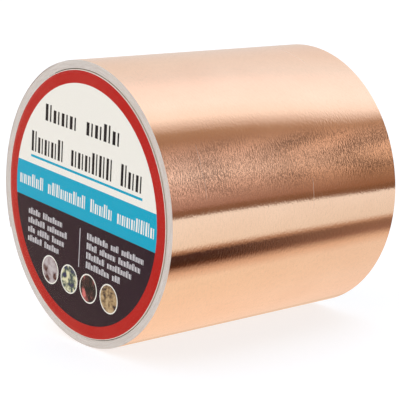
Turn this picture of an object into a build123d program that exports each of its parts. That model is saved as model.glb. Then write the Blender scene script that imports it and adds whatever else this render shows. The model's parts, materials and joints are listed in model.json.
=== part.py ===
from build123d import *
import os
from math import cos, degrees, radians, sin

# Copper foil tape roll, lying on its side: millimetres, +Z up.
# Origin: the middle of the paper core, on its axis.  The axis is Y, and +Y runs from the
# labelled end to the open end.  Angles are measured about the axis from +X towards +Z.
#
# The web is two strips wound together: siliconised release paper inside, and copper foil with
# its coat of adhesive outside.  It is wound on a paper core made of board plies.  The last
# stretch of the web is a free tail that lies on the roll, and the foil at its end can be peeled.

# Core
BORE_R = 38.1           # three-inch bore
PLY_COUNT = 12
PLY = 0.704             # one ply of board with its share of glue

# Web
TAPE_WIDTH = 101.6      # four-inch tape
FOIL = 0.060            # copper foil with its adhesive
LINER = 0.090           # release paper
WIND_AIR = 0.010        # air wound in between two turns
TURNS = 18

# Double-sided strip that starts the web on the core
STARTER = 0.080
STARTER_LENGTH = 20.0
STARTER_INSET = 5.8     # from both edges of the web
STARTER_AIR = 0.010

# Free tail: short stretches joined by hinge lines
TAIL_START = 110.0      # angle at which the tail leaves the wound web
TAIL_STRETCHES = 5      # stretches with foil and liner of one length
TAIL_STEP = 12.0        # degrees each of them covers
END_FOIL_STEP = 4.0     # foil still stuck down on the last stretch
FLAP_STRETCHES = 3      # foil that peels off the last stretch
FLAP_STEP = 8.0
TAIL_LIFT = 0.150       # free air under the tail
HINGE_GAP = 0.060       # air between two stretches
PEEL_GAP = 0.080        # air between the peeling foil and the liner

# Printed label on the core's end
LABEL_INSET = 0.148     # the disc's edge inside the core's
LABEL_GLUE = 0.050
LABEL_CARD = 0.200
LABEL_FILM = 0.050

# Worked out from the above
CORE_LENGTH = TAPE_WIDTH            # the core is cut to the width of the web
CORE_R = BORE_R + PLY_COUNT * PLY
STARTER_WIDTH = TAPE_WIDTH - 2 * STARTER_INSET
LABEL_R = CORE_R - LABEL_INSET
WEB = LINER + FOIL
PITCH = WEB + WIND_AIR
FIRST_TURN_R = CORE_R + STARTER + STARTER_AIR
TAIL_R = FIRST_TURN_R + (TURNS - 1) * PITCH + WEB + TAIL_LIFT
TAIL_OUTER_R = TAIL_R + WEB
END_START = TAIL_START + TAIL_STRETCHES * TAIL_STEP
FLAP_START = END_START + END_FOIL_STEP


def point(radius, angle, centre=(0, 0)):
    """Point of the section at a radius and an angle about a centre."""
    turn = radians(angle)
    return centre[0] + radius * cos(turn), centre[1] + radius * sin(turn)


def along_axis(section, length, from_y=None):
    """Extrude a section along the roll's axis, centred unless it starts at from_y."""
    start = -length / 2 if from_y is None else from_y
    return extrude(Plane.XZ.offset(-start) * section, amount=-length)


def tube(inner_r, outer_r, length):
    return along_axis(Circle(outer_r) - Circle(inner_r), length)


def arc_strip(inner_r, thickness, start, step, width=TAPE_WIDTH, gap=0.0):
    """Strip that lies round the roll from one angle on, with half a gap left at both ends."""
    margin = degrees(gap / 2 / inner_r)
    low, high = start + margin, start + step - margin
    outer_r = inner_r + thickness
    edges = [
        CenterArc((0, 0), inner_r, low, high - low),
        Line(point(inner_r, high), point(outer_r, high)),
        CenterArc((0, 0), outer_r, low, high - low),
        Line(point(inner_r, low), point(outer_r, low)),
    ]
    return along_axis(make_face(edges), width)


def wound_strip(inner_r, thickness):
    """Strip wound from the core outwards, as half turns about two centres in turn.

    Each half turn is half a pitch wider than the one before.  The centres lie half a pitch
    apart on the line where the half turns meet, so the strip has no corner anywhere."""
    shift = point(PITCH / 2, TAIL_START)
    edges = []
    for half in range(2 * TURNS):
        centre = shift if half % 2 else (0, 0)
        start = TAIL_START + 180 * (half % 2)
        for radius in (inner_r, inner_r + thickness):
            edges.append(CenterArc(centre, radius + half * PITCH / 2, start, 180))
    for radius in (inner_r, inner_r + TURNS * PITCH):
        edges.append(Line(point(radius, TAIL_START), point(radius + thickness, TAIL_START)))
    return along_axis(make_face(edges), TAPE_WIDTH)


def core_plies():
    """Board tubes, one inside the other, numbered from the bore outwards."""
    for ply in range(PLY_COUNT):
        inner_r = BORE_R + ply * PLY
        yield f"core_ply_{ply + 1:02d}", tube(inner_r, inner_r + PLY, CORE_LENGTH)


def web():
    step = degrees(STARTER_LENGTH / CORE_R)
    yield "starter_tape", arc_strip(CORE_R, STARTER, TAIL_START, step, STARTER_WIDTH)
    yield "release_liner", wound_strip(FIRST_TURN_R, LINER)
    yield "copper_foil_tape", wound_strip(FIRST_TURN_R + LINER, FOIL)


def tail():
    """The stretches that turn on hinge lines at the outer face of the foil."""
    foil_r = TAIL_R + LINER
    for stretch in range(TAIL_STRETCHES):
        start = TAIL_START + stretch * TAIL_STEP
        yield f"tail_liner_{stretch + 1}", arc_strip(TAIL_R, LINER, start, TAIL_STEP, gap=HINGE_GAP)
        yield f"tail_foil_{stretch + 1}", arc_strip(foil_r, FOIL, start, TAIL_STEP, gap=HINGE_GAP)
    end_step = END_FOIL_STEP + FLAP_STRETCHES * FLAP_STEP
    last = TAIL_STRETCHES + 1
    yield f"tail_liner_{last}", arc_strip(TAIL_R, LINER, END_START, end_step, gap=HINGE_GAP)
    yield f"tail_foil_{last}", arc_strip(foil_r, FOIL, END_START, END_FOIL_STEP, gap=HINGE_GAP)


def flap():
    """Foil that peels away from the last stretch of liner, a peel gap above it."""
    for stretch in range(FLAP_STRETCHES):
        start = FLAP_START + stretch * FLAP_STEP
        foil = arc_strip(TAIL_R + LINER + PEEL_GAP, FOIL, start, FLAP_STEP, gap=HINGE_GAP)
        yield f"flap_foil_{stretch + 1}", foil


def label():
    """Adhesive, printed card and clear film, stacked outwards from the core's end."""
    face_y = -CORE_LENGTH / 2
    layers = (("label_adhesive", LABEL_GLUE), ("label_card", LABEL_CARD), ("label_film", LABEL_FILM))
    for name, thickness in layers:
        face_y -= thickness
        yield name, along_axis(Circle(LABEL_R), thickness, from_y=face_y)


def write_parts():
    os.makedirs("parts", exist_ok=True)
    for group in (core_plies, web, tail, flap, label):
        for name, solid in group():
            solid.label = name
            export_step(solid, f"parts/{name}.step")


write_parts()
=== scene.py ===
# %% [markdown]
# # A roll of copper foil tape
# The roll is a long web of copper foil and release paper, wound on a board core.  A printed disc
# covers one end of the core.  The engineering model already says where every layer lies and how
# the free end moves, so this script only loads that frame and gives each layer its looks.

# %% Load the frame
import json
from math import atan2, cos, degrees, hypot, pi, radians, sin, tau

import bpy
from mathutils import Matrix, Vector


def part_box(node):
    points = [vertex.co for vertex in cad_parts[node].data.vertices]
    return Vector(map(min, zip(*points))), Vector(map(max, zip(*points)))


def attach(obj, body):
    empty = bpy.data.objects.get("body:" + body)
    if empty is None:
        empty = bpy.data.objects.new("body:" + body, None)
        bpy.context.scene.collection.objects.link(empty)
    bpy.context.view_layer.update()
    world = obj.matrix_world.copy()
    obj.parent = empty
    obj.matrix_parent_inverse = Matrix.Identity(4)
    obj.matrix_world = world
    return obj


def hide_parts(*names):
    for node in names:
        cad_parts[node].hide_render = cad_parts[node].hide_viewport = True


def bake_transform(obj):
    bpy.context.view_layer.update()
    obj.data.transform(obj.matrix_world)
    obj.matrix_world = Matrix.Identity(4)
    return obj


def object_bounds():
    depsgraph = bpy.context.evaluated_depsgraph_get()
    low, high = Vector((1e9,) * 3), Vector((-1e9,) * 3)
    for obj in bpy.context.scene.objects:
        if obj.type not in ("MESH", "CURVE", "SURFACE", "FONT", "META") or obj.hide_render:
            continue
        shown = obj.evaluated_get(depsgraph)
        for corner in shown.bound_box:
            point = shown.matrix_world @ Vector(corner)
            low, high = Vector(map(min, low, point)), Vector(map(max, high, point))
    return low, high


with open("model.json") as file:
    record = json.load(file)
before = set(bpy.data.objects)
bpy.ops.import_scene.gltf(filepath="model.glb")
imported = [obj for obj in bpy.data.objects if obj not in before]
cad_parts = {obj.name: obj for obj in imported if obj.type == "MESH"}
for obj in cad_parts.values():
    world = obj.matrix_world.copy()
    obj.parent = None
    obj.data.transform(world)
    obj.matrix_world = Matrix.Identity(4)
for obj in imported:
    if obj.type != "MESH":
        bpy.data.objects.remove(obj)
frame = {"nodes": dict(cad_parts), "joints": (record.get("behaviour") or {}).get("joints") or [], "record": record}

cad_low, cad_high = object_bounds()
print("engineering model, mm:", [round(1000 * side, 2) for side in cad_high - cad_low])

# %% [markdown]
# ## Sizes from the frame
# Places and radii are worked out from the frame, so the looks can't drift away from the
# engineering model, and only the web's thicknesses and its number of turns are given again.  The
# roll lies along Y, with the label at the low end.  The hinge lines of the free tail say where it
# leaves the roll and how far out it lies.

# %% Sizes of the roll
MM = 0.001


def half_width(node):
    low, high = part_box(node)
    return (high.x - low.x) / 2


mounts = {mount["name"]: mount for mount in frame["record"]["mounts"]}
bore_r = mounts["core_bore"]["dims"]["r_mm"] * MM
ply_names = sorted(name for name in frame["nodes"] if name.startswith("core_ply_"))
ply_outer = [half_width(name) for name in ply_names]
web_low, web_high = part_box("copper_foil_tape")
half_length = (web_high.y - web_low.y) / 2
web_width = 2 * half_length

# One turn of the web is foil, release paper and a trace of wound-in air
foil_thick = 0.060 * MM
liner_thick = 0.090 * MM
pitch = 0.160 * MM
turns = 18

print("bore and core radius, mm:", [round(r / MM, 2) for r in (bore_r, ply_outer[-1])])

# %% Sizes of the free tail
hinges = {joint["name"]: joint for joint in frame["joints"]}


def hinge_angle(name):
    """Angle of a hinge line about the roll's axis, from +X towards +Z."""
    x, _, z = hinges[name]["pos_m"]
    return atan2(z, x) % tau


def hinge_radius(name):
    x, _, z = hinges[name]["pos_m"]
    return hypot(x, z)


tail_hinges = ["tail_unroll"] + [f"tail_unroll_{i}" for i in range(2, 7)]
peel_hinges = ["foil_peel"] + [f"foil_peel_{i}" for i in range(2, 4)]
tail_start = hinge_angle(tail_hinges[0])
tail_step = hinge_angle(tail_hinges[1]) - tail_start
peel_step = hinge_angle(peel_hinges[1]) - hinge_angle(peel_hinges[0])
tail_end = hinge_angle(peel_hinges[-1]) + peel_step
tail_inner_r = hinge_radius(tail_hinges[0]) - liner_thick - foil_thick
flap_inner_r = hinge_radius(peel_hinges[0]) - foil_thick
# There is free air under the tail, and the last turn is drawn in a little where the tail begins
tail_lift = 0.150 * MM
web_outer_r = tail_inner_r - tail_lift + pitch
web_start_r = web_outer_r - liner_thick - foil_thick - turns * pitch
pulled_in = pitch / 2
web_end_r = web_outer_r - liner_thick - foil_thick - pulled_in
print("radius of the wound web, mm:", round(web_outer_r / MM, 2))
print("tail from", round(degrees(tail_start)), "to", round(degrees(tail_end)), "degrees")

# %% [markdown]
# ## Arithmetic on node sockets
# Materials and geometry trees are easier to read as formulas than as wires.  A `Value` wraps one
# output of a node, and adding or multiplying two of them adds the Math node that does it.  Every
# other node comes from one method, `add`, which sets the node's settings and then its inputs.


# %% A value that can be calculated with
class Value:
    """One output of a node, which ordinary arithmetic can be written with."""

    def __init__(self, nodes, node, output=0):
        self.nodes, self.node = nodes, node
        self.socket = node.outputs[output] if len(node.outputs) else None

    def __getitem__(self, output):
        return Value(self.nodes, self.node, output)

    def math(self, operation, *others, first=None):
        values = (self,) + others if first is None else (first, self) + others
        return self.nodes.add("ShaderNodeMath", dict(enumerate(values)), operation=operation)

    def __add__(self, other):
        return self.math("ADD", other)

    __radd__ = __add__

    def __mul__(self, other):
        return self.math("MULTIPLY", other)

    __rmul__ = __mul__

    def __sub__(self, other):
        return self.math("SUBTRACT", other)

    def __rsub__(self, other):
        return self.math("SUBTRACT", first=other)

    def __truediv__(self, other):
        return self.math("DIVIDE", other)

    def __pow__(self, other):
        return self.math("POWER", other)

    def __lt__(self, other):
        return self.math("LESS_THAN", other)

    def __gt__(self, other):
        return self.math("GREATER_THAN", other)

    def __abs__(self):
        return self.math("ABSOLUTE")

    def between(self, low, high):
        """A straight ramp from 0 at low to 1 at high, flat outside them."""
        inputs = {0: self, 1: low, 2: high, 3: 0.0, 4: 1.0}
        return self.nodes.add("ShaderNodeMapRange", inputs, clamp=True)


# %% A node tree with one way to add a node
class Nodes:
    """A node tree, and the one method that adds a node to it."""

    def __init__(self, tree):
        self.tree = tree
        tree.nodes.clear()

    def add(self, kind, inputs=None, output=0, stops=None, **settings):
        node = self.tree.nodes.new(kind)
        for name, setting in settings.items():
            setattr(node, name, setting)
        if stops:
            fill_ramp(node.color_ramp, stops)
        for name, value in (inputs or {}).items():
            if isinstance(value, Value):
                self.tree.links.new(value.socket, node.inputs[name])
            else:
                node.inputs[name].default_value = value
        return Value(self, node, output)

    def mix(self, factor, low, high):
        """Colour low where factor is 0 and high where it is 1."""
        inputs = {0: factor, 6: low, 7: high}
        return self.add("ShaderNodeMix", inputs, output=2, data_type="RGBA")

    def noise(self, place, scale, detail=2.0, rough=0.5):
        inputs = {"Vector": place, "Scale": scale, "Detail": detail, "Roughness": rough}
        return self.add("ShaderNodeTexNoise", inputs)


def fill_ramp(ramp, stops):
    """Give a colour ramp its stops, as (place, colour) pairs."""
    while len(ramp.elements) > 1:
        ramp.elements.remove(ramp.elements[-1])
    ramp.elements[0].position = stops[0][0]
    ramp.elements[0].color = stops[0][1]
    for place, colour in stops[1:]:
        ramp.elements.new(place).color = colour


def shade(red, green, blue):
    """A colour from the 0 to 255 values that a paint chart gives, as light values."""

    def light(level):
        share = level / 255
        return share / 12.92 if share <= 0.04045 else ((share + 0.055) / 1.055) ** 2.4

    return light(red), light(green), light(blue), 1.0


# %% [markdown]
# ## A material to fill in
# Each finish starts as an empty material and ends in a Principled BSDF.  The constants go straight
# on the shader's sockets, and only what varies over the surface is wired in.  The scale of a noise
# says how many of its features fit in a metre, and the distance of a bump is in metres too.


# %% Start a finish
def new_finish(name):
    """An empty material, with its nodes."""
    material = bpy.data.materials.new(name)
    material.use_nodes = True
    return material, Nodes(material.node_tree)


def close_finish(nodes, sockets):
    """Add the shader, with these sockets set, and the output."""
    shader = nodes.add("ShaderNodeBsdfPrincipled", sockets)
    nodes.add("ShaderNodeOutputMaterial", {"Surface": shader})


def bumped(nodes, height, distance):
    """A normal that follows height, which stands for distance where it is 1."""
    inputs = {"Height": height, "Distance": distance, "Strength": 1.0}
    return nodes.add("ShaderNodeBump", inputs, output="Normal")


# %% [markdown]
# ## Copper
# Rolled foil is almost a mirror, but the mill's rolls leave a fine grain in it, drawn out along the
# web.  The grain needs a coordinate that runs with the web: every strip carries one as the
# attribute `run`, with metres along the web in x and metres across it in y.  A very shallow bump
# breaks up the reflection, and a small share of a rough, pale copper is mixed in along fine hairs
# and a few long rub marks, so that these catch light from beside the reflection.


# %% Copper face
COPPER_TONES = ((0.935, 0.56, 0.352, 1.0), (0.965, 0.592, 0.378, 1.0))
MIRROR_ROUGHNESS = 0.05
BRUSHED_TONE = (0.98, 0.70, 0.52, 1.0)
BRUSHED_ROUGHNESS = 0.62
# Features per metre, along the web and across it
GRAIN_SCALE = (820.0, 1600.0)
HAIR_SCALE = (520.0, 2000.0)
GRAIN_DEPTH = 0.000013
# How much rough copper shows everywhere, along the hairs and in the rub marks
PLAIN_SHARE, HAIR_SHARE, MARK_SHARE = 0.02, 0.07, 0.70
# Rub marks, in metres: place across the web, place along it, and reach along it
RUB_MARKS = ((-0.0364, 0.0143, 0.0105), (0.0105, 0.0020, 0.0060), (0.0330, 0.0650, 0.0110))
MARK_HALF_WIDTH = 0.00022
MARK_WAVER = 0.0016


def copper_finish():
    material, nodes = new_finish("polished_copper_foil")
    run = nodes.add("ShaderNodeAttribute", output="Vector", attribute_name="run")
    axes = nodes.add("ShaderNodeSeparateXYZ", {0: run})

    def streaks(along, across, offset, detail=2.0):
        place = nodes.add(
            "ShaderNodeMapping", {"Vector": run, "Scale": (along, across, 1.0), "Location": offset}
        )
        return nodes.noise(place, 1.0, detail)

    grain = streaks(*GRAIN_SCALE, (3.1, 0.7, 0.0), 1.0)
    hairs = streaks(*HAIR_SCALE, (6.6, 2.9, 0.0), 3.0)
    patches = nodes.noise(run, 60.0, 3.0)
    mark = 0.0
    for across, along, reach in RUB_MARKS:
        waver = (streaks(160.0, 0.0, (across, 0.0, 0.0)) - 0.5) * MARK_WAVER
        line = (1 - abs(axes["Y"] - across - waver) / MARK_HALF_WIDTH).between(0.0, 1.0)
        mark = line * (1 - abs(axes["X"] - along) / reach).between(0.0, 0.4) + mark
    tone = nodes.mix(patches.between(0.3, 0.75), *COPPER_TONES)
    mirror = nodes.add("ShaderNodeBsdfPrincipled", {
        "Base Color": tone,
        "Metallic": 1.0,
        "Roughness": MIRROR_ROUGHNESS + 0.03 * patches.between(0.35, 0.7),
        "Normal": bumped(nodes, grain, GRAIN_DEPTH),
    })
    brushed = nodes.add("ShaderNodeBsdfPrincipled", {
        "Base Color": BRUSHED_TONE, "Metallic": 1.0, "Roughness": BRUSHED_ROUGHNESS,
    })
    share = PLAIN_SHARE + HAIR_SHARE * hairs.between(0.46, 0.70) + MARK_SHARE * mark
    mixed = nodes.add("ShaderNodeMixShader", {0: share, 1: mirror, 2: brushed})
    nodes.add("ShaderNodeOutputMaterial", {"Surface": mixed})
    return material


copper = copper_finish()
print(copper.name, "with", len(copper.node_tree.nodes), "nodes")


# %% Copper's adhesive side and cut edge
def adhesive_side_finish():
    """The back of the foil: copper seen through a milky coat of adhesive."""
    material, nodes = new_finish("adhesive_coated_copper")
    run = nodes.add("ShaderNodeAttribute", output="Vector", attribute_name="run")
    grain = nodes.noise(run, 900.0, 4.0)
    mottle = nodes.noise(run, 120.0, 3.0)
    tone = nodes.mix(mottle.between(0.3, 0.7), shade(196, 140, 112), shade(214, 164, 136))
    close_finish(nodes, {
        "Base Color": tone,
        "Metallic": 0.55,
        "Roughness": 0.38 + 0.2 * mottle,
        "Normal": bumped(nodes, grain, 0.00001),
    })
    return material


def cut_edge_finish(name, dark, pale):
    """Slit edges of the web, seen end-on on the roll: every turn has its own streaks."""
    material, nodes = new_finish(name)
    run = nodes.add("ShaderNodeAttribute", output="Vector", attribute_name="run")
    streak = nodes.noise(run, 170.0, 3.0)
    nicks = nodes.noise(run, 1800.0, 2.0)
    close_finish(nodes, {
        "Base Color": nodes.mix(streak.between(0.3, 0.7), dark, pale),
        "Roughness": 0.5 + 0.3 * nicks,
        "Normal": bumped(nodes, nicks, 0.00003),
    })
    return material


adhesive_side = adhesive_side_finish()
foil_edge = cut_edge_finish("slit_foil_edge", shade(178, 158, 144), shade(206, 192, 180))
paper_edge = cut_edge_finish("slit_paper_edge", shade(208, 202, 194), shade(228, 224, 216))
print("more faces of the web:", adhesive_side.name, foil_edge.name, paper_edge.name)


# %% [markdown]
# ## Release paper and board
# Release paper is a smooth glassine with a silicone coat.  The core is grey-brown board with long
# fibres and dark flecks, and it is paler at its sawn ends, where the plies show their edges.  That
# paler end is partly painted light, which lifts the shade in the narrow gap between the disc and the
# wound edge.


# %% Release paper
def release_paper_finish():
    material, nodes = new_finish("release_paper")
    run = nodes.add("ShaderNodeAttribute", output="Vector", attribute_name="run")
    cloud = nodes.noise(run, 260.0, 5.0)
    tooth = nodes.noise(run, 2400.0, 3.0)
    close_finish(nodes, {
        "Base Color": nodes.mix(cloud.between(0.3, 0.7), shade(234, 229, 217), shade(240, 237, 228)),
        "Roughness": 0.42 + 0.15 * cloud,
        "Sheen Weight": 0.05,
        "Normal": bumped(nodes, tooth, 0.000006),
    })
    return material


release_paper = release_paper_finish()
print(release_paper.name, "with", len(release_paper.node_tree.nodes), "nodes")


# %% Core board
def core_board_finish():
    material, nodes = new_finish("core_board")
    place = nodes.add("ShaderNodeTexCoord", output="Object")
    stretched = nodes.add("ShaderNodeMapping", {"Vector": place, "Scale": (1.0, 0.35, 1.0)})
    fibre = nodes.noise(stretched, 1500.0, 6.0, 0.65)
    cloud = nodes.noise(place, 90.0, 4.0)
    fleck = nodes.noise(place, 2600.0, 2.0) > 0.71
    pulp = nodes.mix(fibre.between(0.3, 0.7), shade(150, 124, 94), shade(188, 162, 130))
    clouded = nodes.mix(cloud.between(0.35, 0.7) * 0.5, pulp, shade(132, 108, 82))
    flecked = nodes.mix(fleck * 0.6, clouded, shade(96, 78, 60))
    from_middle = abs(nodes.add("ShaderNodeSeparateXYZ", {0: place})["Y"])
    # Paler sawn ends: partly the board's own cut edges, and partly painted light that lifts the shade in the gap
    # between the disc and the wound edge.
    cut_end_and_painted_light = from_middle.between(half_length - 0.4 * MM, half_length - 0.15 * MM)
    close_finish(nodes, {
        "Base Color": nodes.mix(cut_end_and_painted_light * 0.7, flecked, shade(206, 190, 168)),
        "Roughness": 0.82,
        "Normal": bumped(nodes, fibre + cloud * 0.5, 0.00006),
    })
    return material


core_board = core_board_finish()
print(core_board.name, "with", len(core_board.node_tree.nodes), "nodes")

# %% [markdown]
# ## The printed disc
# The print is ink on card, so it belongs in the card's material and needs no shape of its own.
# All places are worked out in millimetres from the disc's centre, with `across` and `up` turned a
# few degrees, because the disc is stuck on slightly askew.  Where the real disc has words, this
# one has rows of thick and thin strokes, and where it has small pictures, this one has blurs.

# %% Layout of the print, in millimetres
PRINT_TURN = radians(5.6)
RING_INNER = 41.8
RING_OUTER = 46.2
# Lower and upper edge of the band across the disc
BAND = (-5.2, 7.6)
# Thin rectangles: middle across, middle up, width and height
UNDERLINE = (0.2, 10.4, 66.3, 0.9)
DIVIDER = (-0.85, -15.2, 0.45, 13.9)
PICTURE_R = 5.2
PICTURE_RIM = 0.45
PICTURES = ((-18.2, -28.3), (-6.3, -28.3), (5.4, -28.3), (17.5, -28.3))
# Rows of strokes: left end, middle height, tallest stroke, pitch of pairs, pairs in each group
HEADLINE_ROWS = ((-33.2, 15.9, 7.4, 4.14, (5, 6, 3)), (-25.0, 27.8, 6.0, 5.0, (4, 4)))
BAND_ROW = (-39.9, 1.3, 4.6, 2.6, (6, 9, 5, 8))
LIST_ROWS = (
    (-33.4, -9.9, 2.3, 1.55, (5, 8)),
    (-33.4, -13.3, 2.3, 1.55, (7, 8)),
    (-33.4, -16.7, 2.3, 1.55, (3, 5, 5)),
    (-33.4, -20.1, 2.3, 1.55, (6, 6)),
    (3.3, -9.9, 2.3, 1.55, (8, 3, 8)),
    (3.3, -13.3, 2.3, 1.55, (4, 6, 8)),
    (3.3, -16.7, 2.3, 1.55, (7, 9)),
    (3.3, -20.1, 2.3, 1.55, (9, 3)),
)

# Middle and half width of the strokes of a pair, as shares of the pitch
THICK_STROKE = (0.28, 0.17)
THIN_STROKE = (0.75, 0.09)
# Share of the pairs that are short, and how much of the tallest stroke they lack
SHORT_PAIRS = 0.62
SHORT_BY = 0.24

RED = shade(185, 24, 15)
FADED_RED = shade(190, 38, 28)
OFF_WHITE = shade(244, 240, 228)
CYAN = shade(6, 168, 197)
AUBERGINE = shade(44, 23, 33)
INK = shade(26, 22, 24)
LIST_INK = shade(226, 222, 222)
PALE_LINE = shade(196, 190, 192)
BARE_CARD = shade(250, 248, 244)
print("print layout:", len(HEADLINE_ROWS) + 1 + len(LIST_ROWS), "rows,", len(PICTURES), "pictures")


# %% Masks for printed shapes
def box_mask(across, up, middle, height, width, tall):
    """1 inside a rectangle given by its middle and its size."""
    return (abs(across - middle) < width / 2) * (abs(up - height) < tall / 2)


def block_row(nodes, across, up, row):
    """1 inside a row of stroke pairs, a thick and a thin one each, in groups with gaps."""
    left, middle, tall, step, groups = row
    count = sum(groups) + len(groups) - 1
    place = (across - left) / step
    cell = place.math("FLOOR")
    share = place - cell
    chance = nodes.add("ShaderNodeTexWhiteNoise", {"W": cell + left}, noise_dimensions="1D")
    top = (0.5 - SHORT_BY * (chance < SHORT_PAIRS)) * tall
    rise = up - middle
    inside = (rise < top) * (rise > -tall / 2)
    thick = abs(share - THICK_STROKE[0]) < THICK_STROKE[1]
    thin = abs(share - THIN_STROKE[0]) < THIN_STROKE[1]
    mask = inside * (thick + thin)
    mask = mask * (abs(place - count / 2) < count / 2)
    gap = 0
    for pairs in groups[:-1]:
        gap += pairs
        mask = mask * (abs(cell - gap) > 0.5)
        gap += 1
    return mask


def rows_mask(nodes, across, up, rows):
    """1 inside any of the rows."""
    mask = 0.0
    for row in rows:
        mask = block_row(nodes, across, up, row) + mask
    return mask


# %% The print
PER_METRE = 1000


def printed_disc_finish():
    material, nodes = new_finish("printed_disc")
    place = nodes.add("ShaderNodeTexCoord", output="Object")
    axes = nodes.add("ShaderNodeSeparateXYZ", {0: place})
    x, z = axes["X"] * PER_METRE, axes["Z"] * PER_METRE
    across = x * cos(PRINT_TURN) - z * sin(PRINT_TURN)
    up = x * sin(PRINT_TURN) + z * cos(PRINT_TURN)
    radius = (across * across + up * up) ** 0.5

    colour = nodes.mix(up > BAND[0], AUBERGINE, CYAN)
    colour = nodes.mix(up > BAND[1], colour, OFF_WHITE)
    colour = nodes.mix(box_mask(across, up, *UNDERLINE), colour, CYAN)
    colour = nodes.mix(rows_mask(nodes, across, up, HEADLINE_ROWS), colour, INK)
    colour = nodes.mix(block_row(nodes, across, up, BAND_ROW), colour, OFF_WHITE)
    colour = nodes.mix(rows_mask(nodes, across, up, LIST_ROWS), colour, LIST_INK)
    colour = nodes.mix(box_mask(across, up, *DIVIDER), colour, PALE_LINE)
    for picture, (middle, height) in enumerate(PICTURES):
        dx, dz = across - middle, up - height
        reach = (dx * dx + dz * dz) ** 0.5
        colour = nodes.mix(reach < PICTURE_R, colour, OFF_WHITE)
        colour = nodes.mix(reach < PICTURE_R - PICTURE_RIM, colour, vignette(nodes, place, picture))
    fade = nodes.noise(place, 60.0, 3.0)
    red = nodes.mix(fade.between(0.3, 0.75), RED, FADED_RED)
    colour = nodes.mix(radius > RING_INNER, colour, red)
    colour = nodes.mix(radius > RING_OUTER, colour, OFF_WHITE)
    dots = nodes.noise(place, 5200.0, 1.0)
    colour = nodes.mix(dots.between(0.62, 0.9) * 0.12, colour, BARE_CARD)
    close_finish(nodes, {
        "Base Color": colour,
        "Roughness": 0.14 + 0.08 * fade,
        "Specular IOR Level": 0.12,
        "Normal": bumped(nodes, nodes.noise(place, 900.0, 3.0), 0.000008),
    })
    return material


# %% Small round pictures
# Scale of the blur, its offset, and its dark, middle and pale colours
VIGNETTES = (
    (330.0, 4.0, (shade(84, 44, 36), shade(176, 160, 158), shade(198, 188, 186))),
    (420.0, 11.0, (shade(58, 54, 88), shade(84, 96, 84), shade(226, 220, 178))),
    (300.0, 23.0, (shade(40, 32, 28), shade(74, 48, 42), shade(214, 116, 108))),
    (460.0, 37.0, (shade(66, 48, 44), shade(176, 146, 104), shade(204, 178, 136))),
)


def vignette(nodes, place, picture):
    """A soft blur of three colours."""
    scale, offset, (dark, middle, pale) = VIGNETTES[picture]
    moved = nodes.add("ShaderNodeMapping", {"Vector": place, "Location": (offset, 0.0, offset)})
    blur = nodes.noise(moved, scale, 2.0)
    stops = ((0.36, dark), (0.5, middle), (0.66, pale))
    return nodes.add("ShaderNodeValToRGB", {0: blur}, stops=stops)


printed_disc = printed_disc_finish()
print(printed_disc.name, "with", len(printed_disc.node_tree.nodes), "nodes")


# %% Card back, clear film and glue
def plain_paper_finish(name, dark, pale, roughness):
    """Card or glue: fibres between a dark and a pale tone."""
    material, nodes = new_finish(name)
    place = nodes.add("ShaderNodeTexCoord", output="Object")
    fibre = nodes.noise(place, 1400.0, 5.0)
    close_finish(nodes, {
        "Base Color": nodes.mix(fibre.between(0.3, 0.7), dark, pale),
        "Roughness": roughness + 0.1 * fibre,
        "Normal": bumped(nodes, fibre, 0.00002),
    })
    return material


def clear_film_finish():
    """Film that is all but invisible, apart from its gloss."""
    material, nodes = new_finish("clear_film")
    place = nodes.add("ShaderNodeTexCoord", output="Object")
    ripple = nodes.noise(place, 40.0, 2.0)
    close_finish(nodes, {
        "Base Color": (0.1, 0.1, 0.1, 1.0),
        "Roughness": 0.12 + 0.08 * ripple,
        "Alpha": 0.025,
    })
    return material


card_edge = plain_paper_finish("card_edge", shade(226, 210, 204), shade(244, 236, 230), 0.6)
glue_coat = plain_paper_finish("adhesive_coat", shade(206, 198, 176), shade(226, 220, 200), 0.3)
clear_film = clear_film_finish()
print("layers of the disc:", card_edge.name, glue_coat.name, clear_film.name)

# %% [markdown]
# ## Strips wound by Geometry Nodes
# The wound web, the release paper and every stretch of the tail are the same thing: a flat strip
# whose distance from the axis grows evenly with the angle.  One tree makes them all.  It lays a
# line of points along the spiral, sweeps a thin rectangle along it, and turns the result so that
# the spiral's axis is Y.  Each turn sits a hair higher or lower than the last, as real ones do.


# %% Inputs of a tree
def new_tree(name, inputs):
    """A Geometry Nodes tree, with its nodes and its inputs as values."""
    tree = bpy.data.node_groups.new(name, "GeometryNodeTree")
    for label, kind in (("Geometry", "NodeSocketGeometry"),) + inputs:
        tree.interface.new_socket(name=label, in_out="INPUT", socket_type=kind)
    tree.interface.new_socket(name="Geometry", in_out="OUTPUT", socket_type="NodeSocketGeometry")
    nodes = Nodes(tree)
    return tree, nodes, nodes.add("NodeGroupInput")


def sharpen(nodes, mesh, angle):
    """Smooth faces, with the edges that turn by more than angle left sharp."""
    smooth = nodes.add("GeometryNodeSetShadeSmooth", {0: mesh, "Shade Smooth": True}, domain="FACE")
    turn = nodes.add("GeometryNodeInputMeshEdgeAngle")
    inputs = {0: smooth, 1: turn > angle, "Shade Smooth": False}
    return nodes.add("GeometryNodeSetShadeSmooth", inputs, domain="EDGE")


NUMBER, WHOLE, FINISH = "NodeSocketFloat", "NodeSocketInt", "NodeSocketMaterial"


# %% The strip tree
# The edges wander this fast with the angle, and lie true again this many steps before the end
WANDER_RATE = 0.21
WANDER_STOPS = 90.0
STRIP_CORNER = 0.9


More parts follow.
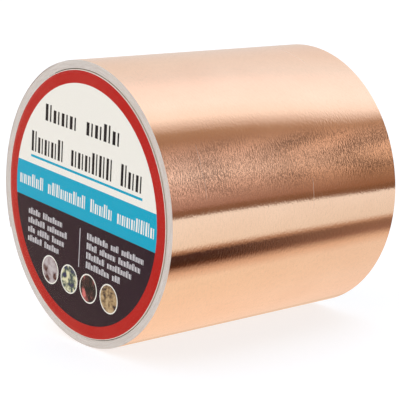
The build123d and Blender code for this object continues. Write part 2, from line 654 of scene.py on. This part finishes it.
def strip_tree():
    tree, nodes, given = new_tree("wound_strip", (
        ("Start Radius", NUMBER), ("End Radius", NUMBER), ("Start Angle", NUMBER),
        ("Sweep", NUMBER), ("Thickness", NUMBER), ("Width", NUMBER), ("Steps", WHOLE),
        ("Edge Wander", NUMBER), ("Tip Lift", NUMBER), ("Run Radius", NUMBER), ("Seed", WHOLE),
        ("Outer Face", FINISH), ("Inner Face", FINISH), ("Cut Edge", FINISH),
    ))
    line = nodes.add("GeometryNodeCurvePrimitiveLine", {"End": (1.0, 0.0, 0.0)})
    points = nodes.add("GeometryNodeResampleCurve", {"Curve": line, "Count": given["Steps"] + 1})
    share = nodes.add("GeometryNodeSplineParameter", output="Factor")
    angle = given["Start Angle"] + given["Sweep"] * share
    grown = given["Start Radius"] + (given["End Radius"] - given["Start Radius"]) * share
    radius = grown + given["Thickness"] * 0.5 + given["Tip Lift"] * share ** 3
    noise = nodes.add(
        "ShaderNodeTexNoise",
        {"W": angle * WANDER_RATE + given["Seed"], "Scale": 1.0, "Detail": 1.0},
        noise_dimensions="1D",
    )
    fade = ((1 - share) * given["Steps"]).between(0.0, WANDER_STOPS)
    wander = (noise - 0.5) * 2 * given["Edge Wander"] * fade
    spot = nodes.add("ShaderNodeCombineXYZ", {
        0: radius * angle.math("COSINE"), 1: radius * angle.math("SINE"), 2: wander,
    })
    moved = nodes.add("GeometryNodeSetPosition", {"Geometry": points, "Position": spot})
    path = nodes.add("GeometryNodeSetCurveNormal", {"Curve": moved}, mode="Z_UP")
    kept = nodes.add("GeometryNodeCaptureAttribute", {"Geometry": path})
    kept.node.capture_items.new("FLOAT", "Along")
    nodes.tree.links.new((angle * given["Run Radius"]).socket, kept.node.inputs["Along"])
    section = nodes.add(
        "GeometryNodeCurvePrimitiveQuadrilateral",
        {"Width": given["Thickness"], "Height": given["Width"]},
    )
    swept = nodes.add("GeometryNodeCurveToMesh", {
        "Curve": kept["Geometry"], "Profile Curve": section, "Fill Caps": True,
    })
    laid = nodes.add("GeometryNodeTransform", {"Geometry": swept, "Rotation": (pi / 2, 0.0, 0.0)})
    here = nodes.add("ShaderNodeSeparateXYZ", {0: nodes.add("GeometryNodeInputPosition")})
    run = nodes.add("ShaderNodeCombineXYZ", {0: kept["Along"], 1: here["Y"]})
    marked = nodes.add("GeometryNodeStoreNamedAttribute", {
        "Geometry": sharpen(nodes, laid, STRIP_CORNER), "Name": "run", "Value": run,
    }, data_type="FLOAT_VECTOR", domain="POINT")
    facing = nodes.add("ShaderNodeSeparateXYZ", {0: nodes.add("GeometryNodeInputNormal")})
    outwards = (facing["X"] * here["X"] + facing["Z"] * here["Z"]) / given["Start Radius"]
    solid = nodes.add("GeometryNodeRealizeInstances", {"Geometry": marked})
    for finish, selection in (
        ("Cut Edge", abs(outwards) < 0.5), ("Outer Face", outwards > 0.5),
        ("Inner Face", outwards < -0.5),
    ):
        inputs = {"Geometry": solid, "Selection": selection, "Material": given[finish]}
        solid = nodes.add("GeometryNodeSetMaterial", inputs)
    nodes.add("NodeGroupOutput", {"Geometry": solid})
    return tree


strips = strip_tree()
print("strip tree:", len(strips.nodes), "nodes")


# %% Grow a mesh from a tree
def grow(name, tree, sizes):
    """Run a tree with these inputs and keep its result as a plain mesh object."""
    seed = bpy.data.objects.new(name + "_seed", bpy.data.meshes.new(name + "_seed"))
    bpy.context.scene.collection.objects.link(seed)
    modifier = seed.modifiers.new("tree", "NODES")
    modifier.node_group = tree
    sockets = {item.name: item.identifier for item in tree.interface.items_tree
               if item.in_out == "INPUT"}
    for label, value in sizes.items():
        modifier[sockets[label]] = value
    bpy.context.view_layer.update()
    graph = bpy.context.evaluated_depsgraph_get()
    mesh = bpy.data.meshes.new_from_object(seed.evaluated_get(graph))
    bpy.data.objects.remove(seed)
    mesh.name = name
    piece = bpy.data.objects.new(name, mesh)
    bpy.context.scene.collection.objects.link(piece)
    return piece


EDGE_WANDER = 0.07 * MM
FOIL_FACES = (copper, adhesive_side, foil_edge)
LINER_FACES = (release_paper, release_paper, paper_edge)


def strip(name, start, end, inner_start, inner_end, thick, faces, steps, wander=0.0, lift=0.0):
    """A stretch of strip from one angle to another; faces are its outer, inner and edge finish."""
    outer, inner, edge = faces
    return grow(name, strips, {
        "Start Radius": inner_start, "End Radius": inner_end, "Start Angle": start,
        "Sweep": end - start, "Thickness": thick, "Width": web_width - 2 * EDGE_WANDER,
        "Steps": steps, "Edge Wander": wander, "Tip Lift": lift, "Run Radius": web_outer_r,
        "Seed": 7, "Outer Face": outer, "Inner Face": inner, "Cut Edge": edge,
    })

# %% [markdown]
# ## The wound web
# Both strips of the web stop half a stretch short of the first hinge line, where the first piece
# of the tail takes over.

# %% Wind the web
STEPS_PER_TURN = 200
half_step = tail_step / 2
web_last = tail_start - half_step
web_first = tail_start - turns * tau
web_steps = int(turns * STEPS_PER_TURN)

wound_liner = strip("wound_release_liner", web_first, web_last, web_start_r, web_end_r,
                    liner_thick, LINER_FACES, web_steps, EDGE_WANDER)
wound_foil = strip("wound_copper_foil", web_first, web_last, web_start_r + liner_thick,
                   web_end_r + liner_thick, foil_thick, FOIL_FACES, web_steps, EDGE_WANDER)
for piece, node, slot in ((wound_liner, "release_liner", "release_paper"),
                          (wound_foil, "copper_foil_tape", "copper_foil")):
    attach(piece, "roll")
    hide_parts(node)
    print(piece.name, len(piece.data.polygons), "faces")

# %% [markdown]
# ## The free tail
# A strip that unrolls has to bend smoothly, but the frame's tail is a chain of short bodies.  So
# each piece here runs from the middle of one stretch to the middle of the next, across one hinge
# line.  Each piece is baked in place, and the engineering part it replaces is hidden.


def across_hinge(piece, end, node):
    """Bake a piece's placement into its mesh and hide the engineering part it replaces; end is not used."""
    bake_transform(piece)
    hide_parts(node)


cuts = [tail_start - half_step + i * tail_step for i in range(6)]
peel_start = hinge_angle(peel_hinges[0])
end_start = hinge_angle(tail_hinges[-1])
foil_cuts = cuts + [(end_start + peel_start) / 2]
liner_cuts = cuts + [tail_end]
print("tail cut at, degrees:", [round(degrees(cut)) for cut in liner_cuts])

# %% Tail stretches
TAIL_STEPS = 48
for i in range(6):
    for kind, edges, thick, base, faces, slot in (
        ("liner", liner_cuts, liner_thick, 0.0, LINER_FACES, "release_paper"),
        ("foil", foil_cuts, foil_thick, liner_thick, FOIL_FACES, "copper_foil"),
    ):
        start, end = edges[i], edges[i + 1]
        inner = (web_end_r if i == 0 else tail_inner_r) + base
        steps = int(TAIL_STEPS * max(1.0, (end - start) / tail_step))
        piece = strip(f"tail_{kind}_stretch_{i + 1}", start, end, inner, tail_inner_r + base,
                      thick, faces, steps)
        bend_end = min(end, start + tail_step)
        across_hinge(piece, bend_end,
                     f"tail_{kind}_{i + 1}")
print("tail pieces:", 2 * 6)

# %% Peeling foil
TIP_LIFT = 0.06 * MM
flap_cuts = [foil_cuts[-1]] + [hinge_angle(name) + peel_step / 2 for name in peel_hinges[:-1]]
flap_cuts.append(tail_end)
foil_lies = tail_inner_r + liner_thick
for i in range(3):
    start, end = flap_cuts[i], flap_cuts[i + 1]
    inner = foil_lies if i == 0 else flap_inner_r
    piece = strip(f"peeling_foil_{i + 1}", start, end, inner, flap_inner_r, foil_thick,
                  FOIL_FACES, TAIL_STEPS, lift=TIP_LIFT if i == 2 else 0.0)
    across_hinge(piece, min(end, start + peel_step),
                 f"flap_foil_{i + 1}")
print("peeling pieces:", 3)

# %% [markdown]
# ## The board core
# A core is a dozen plies of board.  Every ply is a tube with soft edges and a shallow seam.  The
# tree sweeps a rounded rectangle round a circle, presses the seam in and then twists the tube,
# which turns a straight seam into a helix.  Only the innermost ply is twisted, because the seams of
# the others show nothing but their ends.  Points crowd towards the seam, where they are needed.


# %% The ply tree
CROWDING = 0.92
PLY_CORNER = 1.2


def ply_tree():
    tree, nodes, given = new_tree("board_ply", (
        ("Inner Radius", NUMBER), ("Outer Radius", NUMBER), ("Length", NUMBER), ("Edge", NUMBER),
        ("Steps", WHOLE), ("Rings", WHOLE), ("Twist", NUMBER), ("Phase", NUMBER),
        ("Seam Depth", NUMBER), ("Seam Width", NUMBER), ("Board", FINISH),
    ))
    wall = given["Outer Radius"] - given["Inner Radius"]
    middle = (given["Outer Radius"] + given["Inner Radius"]) * 0.5
    circle = nodes.add("GeometryNodeCurvePrimitiveCircle", {
        "Resolution": given["Steps"], "Radius": 1.0,
    })
    share = nodes.add("GeometryNodeSplineParameter", output="Factor")
    crowded = tau * share - CROWDING * (tau * share).math("SINE")
    spot = nodes.add("ShaderNodeCombineXYZ", {
        0: middle * crowded.math("COSINE"), 1: middle * crowded.math("SINE"),
    })
    round_path = nodes.add("GeometryNodeSetPosition", {"Geometry": circle, "Position": spot})
    path = nodes.add("GeometryNodeSetCurveNormal", {"Curve": round_path}, mode="Z_UP")
    kept = nodes.add("GeometryNodeCaptureAttribute", {"Geometry": path})
    kept.node.capture_items.new("FLOAT", "Turn")
    nodes.tree.links.new(crowded.socket, kept.node.inputs["Turn"])
    rectangle = nodes.add("GeometryNodeCurvePrimitiveQuadrilateral", {
        "Width": wall, "Height": given["Length"],
    })
    rounded = nodes.add("GeometryNodeFilletCurve", {
        "Curve": rectangle, "Radius": given["Edge"], "Limit Radius": True, "Count": 3,
    }, mode="POLY")
    cut = nodes.add("GeometryNodeSubdivideCurve", {"Curve": rounded, "Cuts": given["Rings"]})
    swept = nodes.add("GeometryNodeCurveToMesh", {
        "Curve": kept["Geometry"], "Profile Curve": cut,
    })
    here = nodes.add("ShaderNodeSeparateXYZ", {0: nodes.add("GeometryNodeInputPosition")})
    reach = (here["X"] * here["X"] + here["Y"] * here["Y"]) ** 0.5
    turn = here["Y"].math("ARCTAN2", here["X"])
    off_seam = abs(turn) * middle / given["Seam Width"]
    groove = given["Seam Depth"] * (off_seam * off_seam * -1).math("EXPONENT")
    sunk = reach + groove * (1 - 2 * (reach > middle))
    angle = turn + given["Twist"] * here["Z"] / given["Length"] + given["Phase"]
    place = nodes.add("ShaderNodeCombineXYZ", {
        0: sunk * angle.math("COSINE"), 1: sunk * angle.math("SINE"), 2: here["Z"],
    })
    twisted = nodes.add("GeometryNodeSetPosition", {"Geometry": swept, "Position": place})
    laid = nodes.add("GeometryNodeTransform", {"Geometry": twisted, "Rotation": (pi / 2, 0.0, 0.0)})
    solid = nodes.add("GeometryNodeRealizeInstances", {"Geometry": sharpen(nodes, laid, PLY_CORNER)})
    done = nodes.add("GeometryNodeSetMaterial", {"Geometry": solid, "Material": given["Board"]})
    nodes.add("NodeGroupOutput", {"Geometry": done})
    return tree


plies = ply_tree()
print("ply tree:", len(plies.nodes), "nodes")

# %% Roll the plies
PLY_GAP = 0.012 * MM
PLY_EDGE = 0.10 * MM
# The plies' ends stand back by up to this much, in four steps
PLY_SETBACK = 0.10 * MM
SEAM_DEPTH = 0.16 * MM
SEAM_WIDTH = 0.25 * MM
BORE_TWIST = radians(150)
inner_r = bore_r
for number, (name, outer_r) in enumerate(zip(ply_names, ply_outer)):
    bore_ply = number == 0
    ply = grow(f"board_ply_{number + 1:02d}", plies, {
        "Inner Radius": inner_r + (0.0 if bore_ply else PLY_GAP), "Outer Radius": outer_r - PLY_GAP,
        "Length": web_width - 2 * PLY_SETBACK * ((number * 5) % 4) / 3, "Edge": PLY_EDGE,
        "Steps": 120, "Rings": 12 if bore_ply else 1, "Twist": BORE_TWIST if bore_ply else 0.0,
        "Phase": 1.3 * number, "Seam Depth": SEAM_DEPTH, "Seam Width": SEAM_WIDTH,
        "Board": core_board,
    })
    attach(ply, "roll")
    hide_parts(name)
    inner_r = outer_r
print("plies:", len(ply_names), "with", len(ply.data.polygons), "faces in the last")

# %% [markdown]
# ## The disc's three layers
# Glue, card and film are thin closed discs.  Over the open bore nothing backs them, so they sag
# inwards by a tenth of a millimetre, and that is what keeps the gloss from looking dead flat.

# %% A thin disc with a soft rim
DISC_SPOKES = 180
DISC_RINGS = 30
SAG = 0.12 * MM


def sag_at(radius):
    """How far the disc sags at this radius: nothing where the core backs it."""
    open_share = max(0.0, 1 - (radius / bore_r) ** 2)
    return SAG * open_share ** 2


def thin_disc(name, radius, low_y, high_y, rim, front, back):
    """A closed disc across Y, sagging towards +Y inside the bore."""
    flat = radius - rim
    inner = [flat * (i / DISC_RINGS) for i in range(1, DISC_RINGS + 1)]
    outline = [(r, low_y + sag_at(r)) for r in inner]
    outline += [(radius, low_y + rim), (radius, high_y - rim)]
    outline += [(r, high_y + sag_at(r)) for r in reversed(inner)]
    verts = [(0.0, low_y + SAG, 0.0), (0.0, high_y + SAG, 0.0)]
    for r, y in outline:
        for spoke in range(DISC_SPOKES):
            turn = tau * spoke / DISC_SPOKES
            verts.append((r * cos(turn), y, r * sin(turn)))
    faces = []
    for ring in range(len(outline) - 1):
        for spoke in range(DISC_SPOKES):
            a = 2 + ring * DISC_SPOKES + spoke
            b = 2 + ring * DISC_SPOKES + (spoke + 1) % DISC_SPOKES
            faces.append((a, a + DISC_SPOKES, b + DISC_SPOKES, b))
    last = 2 + (len(outline) - 1) * DISC_SPOKES
    for spoke in range(DISC_SPOKES):
        after = (spoke + 1) % DISC_SPOKES
        faces.append((0, 2 + spoke, 2 + after))
        faces.append((1, last + after, last + spoke))
    mesh = bpy.data.meshes.new(name)
    mesh.from_pydata(verts, [], faces)
    mesh.materials.append(front)
    mesh.materials.append(back)
    mesh.polygons.foreach_set("use_smooth", [True] * len(faces))
    mesh.update()
    for face in mesh.polygons:
        face.material_index = 0 if face.normal.y < -0.5 else 1
    piece = bpy.data.objects.new(name, mesh)
    bpy.context.scene.collection.objects.link(piece)
    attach(piece, "roll")
    return piece


# %% Stack the disc
FILM_GAP = 0.012 * MM
DISC_RIM = 0.02 * MM
for name, node, slot, front, back, gap in (
    ("disc_adhesive", "label_adhesive", "clear_adhesive", glue_coat, glue_coat, 0.0),
    ("disc_card", "label_card", "printed_card", printed_disc, card_edge, 0.0),
    ("disc_film", "label_film", "gloss_film", clear_film, clear_film, FILM_GAP),
):
    low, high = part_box(node)
    disc = thin_disc(name, (high.x - low.x) / 2, low.y, high.y - gap, DISC_RIM, front, back)
    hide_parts(node)
    print(name, "thickness, mm:", round((high.y - low.y) / MM, 3))

# %% [markdown]
# ## The starter strip
# The strip that fixes the web to the core is sealed in between them.  Its engineering solid is
# the right shape, so it stays and only gets a finish.

# %% Finish the starter strip
starter = frame["nodes"]["starter_tape"]
starter.data.materials.clear()
starter.data.materials.append(glue_coat)
print("starter strip:", len(starter.data.polygons), "faces")

# %% [markdown]
# ## Light tent
# A mirror shows whatever stands round it, so lighting copper means arranging things to reflect.
# Long boards, almost parallel to the roll, give straight bands along it: a bright roof, a dim
# wall, a thin gap, a white strip, a dark gap and a white table.  The world's colour comes from the
# angle round the roll's axis.  Every band has a colour for the label end and one for the far end,
# and the far ones spread a little, because real boards don't lie quite true.
#
# The wall is ribbed, like the folds of a hanging cloth.  The copper's grain breaks the ribs up into
# the fine glitter of rolled foil, and the other bands stay calm.  A dark card stands where the disc
# would mirror the bright table, and the camera itself sees plain white behind the roll.

# %% World bands: angle round the axis in degrees, light near the label end, light at the far end
BANDS = (
    (-180, (0.78, 0.70, 0.62), (0.80, 0.74, 0.68)),
    (-170, (1.06, 0.84, 0.68), (1.08, 0.94, 0.84)),
    (-156, (1.02, 0.74, 0.54), (1.08, 0.90, 0.76)),
    (-149, (0.90, 0.66, 0.46), (0.93, 0.76, 0.60)),
    (-144, (0.80, 0.60, 0.44), (0.78, 0.64, 0.50)),
    (-137, (1.02, 0.82, 0.66), (0.96, 0.82, 0.70)),
    (-120, (1.04, 0.92, 0.80), (0.98, 0.90, 0.84)),
    (-96, (1.02, 0.97, 0.92), (0.95, 0.95, 0.95)),
    (-62, (0.96, 0.96, 0.92), (0.90, 0.90, 0.90)),
    (-54, (0.74, 0.60, 0.52), (0.80, 0.70, 0.62)),
    (-48, (0.12, 0.05, 0.03), (0.38, 0.27, 0.23)),
    (-46, (0.06, 0.03, 0.02), (0.30, 0.20, 0.17)),
    (-39, (0.06, 0.03, 0.03), (0.29, 0.20, 0.16)),
    (-36, (0.46, 0.32, 0.24), (0.56, 0.44, 0.37)),
    (-33, (0.90, 0.98, 1.04), (0.84, 0.92, 0.99)),
    (-30, (0.93, 1.04, 1.14), (0.87, 0.97, 1.06)),
    (-10, (0.97, 1.13, 1.30), (0.94, 1.08, 1.24)),
    (-8, (0.22, 0.14, 0.10), (0.22, 0.14, 0.10)),
    (-4, (0.26, 0.16, 0.12), (0.22, 0.13, 0.08)),
    (-2, (0.40, 0.28, 0.27), (0.29, 0.17, 0.11)),
    (12, (0.59, 0.51, 0.54), (0.40, 0.29, 0.22)),
    (22, (0.71, 0.70, 0.78), (0.50, 0.40, 0.34)),
    (33, (0.57, 0.52, 0.56), (0.56, 0.46, 0.41)),
    (42, (0.47, 0.38, 0.37), (0.50, 0.40, 0.35)),
    (50, (0.38, 0.27, 0.21), (0.46, 0.36, 0.31)),
    (57, (0.42, 0.32, 0.25), (0.46, 0.35, 0.28)),
    (70, (1.12, 1.22, 1.40), (1.12, 1.24, 1.44)),
    (82, (1.18, 1.34, 1.62), (1.22, 1.38, 1.68)),
    (102, (1.10, 1.22, 1.46), (1.16, 1.32, 1.60)),
    (116, (0.92, 1.04, 1.22), (1.00, 1.20, 1.44)),
    (140, (0.87, 0.93, 0.98), (0.92, 0.98, 1.06)),
    (180, (0.78, 0.70, 0.62), (0.80, 0.74, 0.68)),
)


def band_light(nodes, share, end):
    """The bands as a colour ramp; end is 1 for the label end and 2 for the far one."""
    stops = [((row[0] + 180) / 360, (*row[end], 1.0)) for row in BANDS]
    return nodes.add("ShaderNodeValToRGB", {0: share}, stops=stops)


# %% World
# Directions are parts of a unit vector, and angles are degrees round the axis.  The bands spread
# away from a line this far below level, and further at the far end
SPREAD_FROM = 50
NEAR_SPREAD, FAR_SPREAD = 0.977, 0.1
FAR_END = (0.62, 0.71)
WALL_LOW, WALL_HIGH, WALL_NEAR = (-4.0, 12.0), (40.0, 54.0), (0.3, 0.5)
RIBS, RIB_WANDER, RIB_EDGE, RIB_CONTRAST = 150.0, 9.0, 0.4, 0.64
CARD_COLOUR = (0.26, 0.23, 0.23, 1.0)
CARD_NEAR, CARD_FAR = (-0.86, -0.78), (-0.60, -0.54)
CARD_LOW, CARD_HIGH = (-0.52, -0.42), (0.0, 0.1)


def build_world():
    world = bpy.data.worlds.new("light_tent")
    bpy.context.scene.world = world
    world.use_nodes = True
    nodes = Nodes(world.node_tree)
    way = nodes.add("ShaderNodeTexCoord", output="Generated")
    axes = nodes.add("ShaderNodeSeparateXYZ", {0: way})
    turn = axes["Z"].math("ARCTAN2", axes["X"]) * (180 / pi)
    far = axes["Y"].between(*FAR_END)
    slanted = (turn + SPREAD_FROM) * (NEAR_SPREAD + FAR_SPREAD * far * far) - SPREAD_FROM
    share = slanted / 360 + 0.5
    light = nodes.mix(far, band_light(nodes, share, 1), band_light(nodes, share, 2))
    wander = nodes.noise(way, 5.0, 1.0) * RIB_WANDER
    ribs = (axes["Y"] * RIBS + wander).math("SINE").between(-RIB_EDGE, RIB_EDGE)
    wall = turn.between(*WALL_LOW) * (1 - turn.between(*WALL_HIGH)) * axes["Y"].between(*WALL_NEAR)
    straight = nodes.add("ShaderNodeLightPath", output="Is Camera Ray")
    strength = 1 + (1 - straight) * wall * (2 * ribs - 1) * RIB_CONTRAST
    card = (1 - axes["Y"].between(*CARD_FAR)) * axes["Y"].between(*CARD_NEAR)
    card = card * axes["Z"].between(*CARD_LOW) * (1 - axes["Z"].between(*CARD_HIGH))
    light = nodes.mix(card * (axes["X"] < 0), light, CARD_COLOUR)
    light = nodes.mix(straight, light, (1.0, 1.0, 1.0, 1.0))
    background = nodes.add("ShaderNodeBackground", {"Color": light, "Strength": strength})
    nodes.add("ShaderNodeOutputWorld", {"Surface": background})


build_world()
print("light tent:", len(BANDS), "bands")

# %% [markdown]
# ## Floor, soft lamp and camera
# The floor is pale and matt.  It isn't seen in the copper, because the tent's lower half already
# stands for a lit table there.  The camera stands to the right of the label and a little above
# the roll, with a long lens.


# %% Floor
FLOOR_HALF = 6.0
FLOOR_GAP = 0.0001
FLOOR_GREY = (0.34, 0.34, 0.34, 1.0)
FLOOR_GLOW = 0.74


def build_floor():
    mesh = bpy.data.meshes.new("floor")
    corners = [(x * FLOOR_HALF, y * FLOOR_HALF, 0) for x, y in ((-1, -1), (1, -1), (1, 1), (-1, 1))]
    mesh.from_pydata(corners, [], [(0, 1, 2, 3)])
    floor = bpy.data.objects.new("floor", mesh)
    bpy.context.scene.collection.objects.link(floor)
    floor.location.z = cad_low.z - FLOOR_GAP
    material, nodes = new_finish("pale_floor")
    close_finish(nodes, {
        "Base Color": FLOOR_GREY,
        "Roughness": 0.9,
        "Specular IOR Level": 0.1,
        "Emission Color": (1.0, 1.0, 1.0, 1.0),
        "Emission Strength": FLOOR_GLOW,
    })
    mesh.materials.append(material)
    floor.visible_glossy = False


build_floor()
print("floor at, mm:", round((cad_low.z - FLOOR_GAP) / MM, 2))


# %% Soft lamps
LAMP_COLOUR = (1.0, 0.88, 0.70)
LAMP_SIZE = 0.6


def soft_lamp(name, place, power):
    """A round lamp that shines at the roll and isn't seen, not even in the copper."""
    data = bpy.data.lights.new(name, "AREA")
    data.color = LAMP_COLOUR
    data.shape = "DISK"
    data.size = LAMP_SIZE
    data.energy = power
    lamp = bpy.data.objects.new(name, data)
    bpy.context.scene.collection.objects.link(lamp)
    lamp.location = place
    lamp.rotation_euler = (-Vector(place)).to_track_quat("-Z", "Y").to_euler()
    lamp.visible_glossy = False
    lamp.visible_camera = False


soft_lamp("front_lamp", (0.25, -0.9, 0.55), 1.5)
soft_lamp("back_lamp", (-0.35, 0.9, 0.6), 0.6)
print("lamps:", [light.name for light in bpy.data.lights])

# %% Camera
CAMERA_AZIMUTH = radians(50.84)
CAMERA_RISE = radians(10.965)
CAMERA_DISTANCE = 10.267 * web_outer_r
CAMERA_TARGET = Vector((0.019, -0.002, -0.083)) * web_outer_r
SENSOR_WIDTH = 36.0
LENS = 126.3


def build_camera():
    data = bpy.data.cameras.new("camera")
    data.sensor_width = SENSOR_WIDTH
    data.lens = LENS
    data.clip_start = 0.01
    camera = bpy.data.objects.new("camera", data)
    bpy.context.scene.collection.objects.link(camera)
    level = cos(CAMERA_RISE)
    back = Vector((level * sin(CAMERA_AZIMUTH), -level * cos(CAMERA_AZIMUTH), sin(CAMERA_RISE)))
    camera.location = CAMERA_TARGET + CAMERA_DISTANCE * back
    camera.rotation_euler = (-back).to_track_quat("-Z", "Y").to_euler()
    bpy.context.scene.camera = camera


build_camera()
bpy.context.scene.view_settings.view_transform = "Standard"
print("camera at, m:", [round(side, 3) for side in bpy.context.scene.camera.location])
